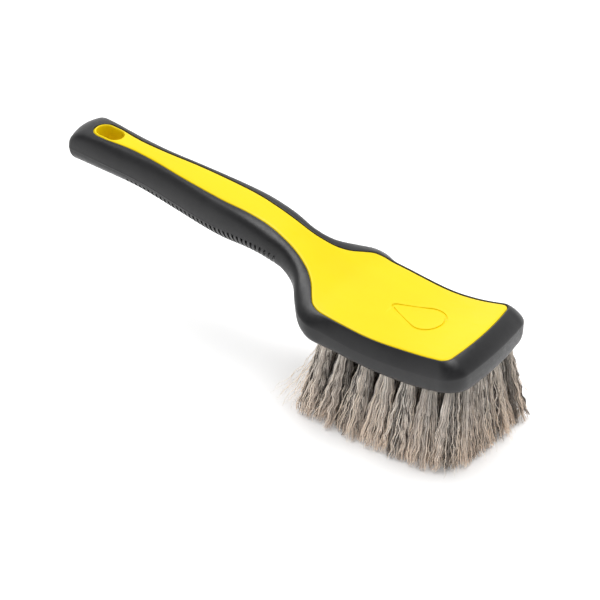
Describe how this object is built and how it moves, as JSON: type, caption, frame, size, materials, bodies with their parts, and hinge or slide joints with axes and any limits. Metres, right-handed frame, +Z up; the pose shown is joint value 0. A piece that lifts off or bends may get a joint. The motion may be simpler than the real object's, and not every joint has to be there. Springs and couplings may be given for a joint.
{
  "type": "wheel brush",
  "caption": "Short-handled wheel brush with a stiff core, soft grip jacket and bumper rim, an oval hanging hole, and a drilled block of trimmed natural-hair tufts.",
  "frame": {"origin": "middle of the middle tuft's trimmed end, on the surface that the brush stands on", "axes": "+X along the brush towards the front of the head, +Z up, away from the bristles, so the Y axis runs across the head"},
  "size_m": [0.2725, 0.074, 0.0998],
  "materials": {
    "core": "satin moulded polypropylene, yellow",
    "jacket": "matte soft-touch thermoplastic rubber, black",
    "block": "matte moulded plastic, black",
    "anchor": "drawn flat wire",
    "hair": "natural grey and beige hair, dull"
  },
  "bodies": {
    "root": {"handle_core": "core", "grip_overmould": "jacket", "tuft_block": "block", "tuft_anchors": "anchor", "tuft_1_1": "hair", "tuft_1_2": "hair", "tuft_1_3": "hair", "tuft_1_4": "hair", "tuft_1_5": "hair", "tuft_2_1": "hair", "tuft_2_2": "hair", "tuft_2_3": "hair", "tuft_2_4": "hair", "tuft_2_5": "hair", "tuft_3_1": "hair", "tuft_3_2": "hair", "tuft_3_3": "hair", "tuft_3_4": "hair", "tuft_3_5": "hair", "tuft_4_1": "hair", "tuft_4_2": "hair", "tuft_4_3": "hair", "tuft_4_4": "hair", "tuft_4_5": "hair", "tuft_5_1": "hair", "tuft_5_2": "hair", "tuft_5_3": "hair", "tuft_5_4": "hair", "tuft_5_5": "hair", "tuft_6_1": "hair", "tuft_6_2": "hair", "tuft_6_3": "hair", "tuft_6_4": "hair", "tuft_6_5": "hair", "tuft_7_1": "hair", "tuft_7_2": "hair", "tuft_7_3": "hair", "tuft_7_4": "hair", "tuft_7_5": "hair"}
  },
  "joints": []
}
